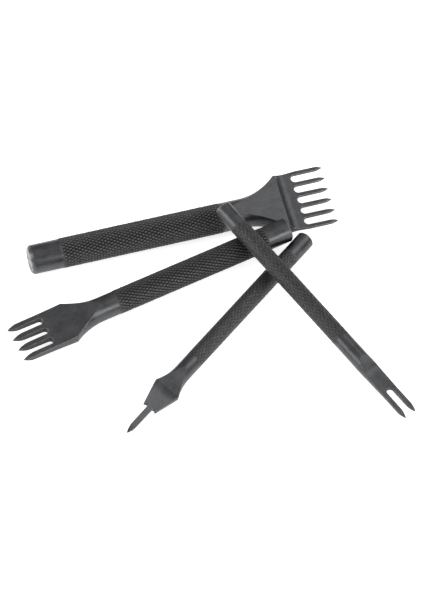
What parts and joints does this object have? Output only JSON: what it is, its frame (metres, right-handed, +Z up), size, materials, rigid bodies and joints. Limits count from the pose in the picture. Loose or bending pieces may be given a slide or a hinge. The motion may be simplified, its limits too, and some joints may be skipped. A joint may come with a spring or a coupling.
{
  "type": "pricking iron set",
  "caption": "Pricking irons of graded widths: knurled round steel handles flaring to thin flat heads cut into pointed teeth for marking stitch holes in leather.",
  "frame": {"origin": "on the bench, under the middle of the box around the four irons as they lie", "axes": "+Z up from the bench; +X along the box's longest side, roughly from the six-tooth iron's butt to its tips; -Y towards the viewer"},
  "size_m": [0.1312, 0.107, 0.0187],
  "materials": {
    "black_oxide_steel": "black oxide on hardened tool steel, satin, knurled grips, worn edges"
  },
  "bodies": {
    "six_tooth_iron": {"six_tooth_iron": "black_oxide_steel"},
    "four_tooth_iron": {"four_tooth_iron": "black_oxide_steel"},
    "two_tooth_iron": {"two_tooth_iron": "black_oxide_steel"},
    "one_tooth_iron": {"one_tooth_iron": "black_oxide_steel"}
  },
  "joints": [
    {"name": "two_lift", "type": "slide", "parent": "six_tooth_iron", "child": "two_tooth_iron", "axis": [0, 0, 1], "range_m": [0, 0.05]},
    {"name": "four_pull_out", "type": "slide", "parent": "six_tooth_iron", "child": "four_tooth_iron", "axis": [-0.8894, -0.4571, 0], "range_m": [0, 0.05]},
    {"name": "one_pull_out", "type": "slide", "parent": "six_tooth_iron", "child": "one_tooth_iron", "axis": [-0.5864, -0.81, 0], "range_m": [0, 0.05]}
  ]
}
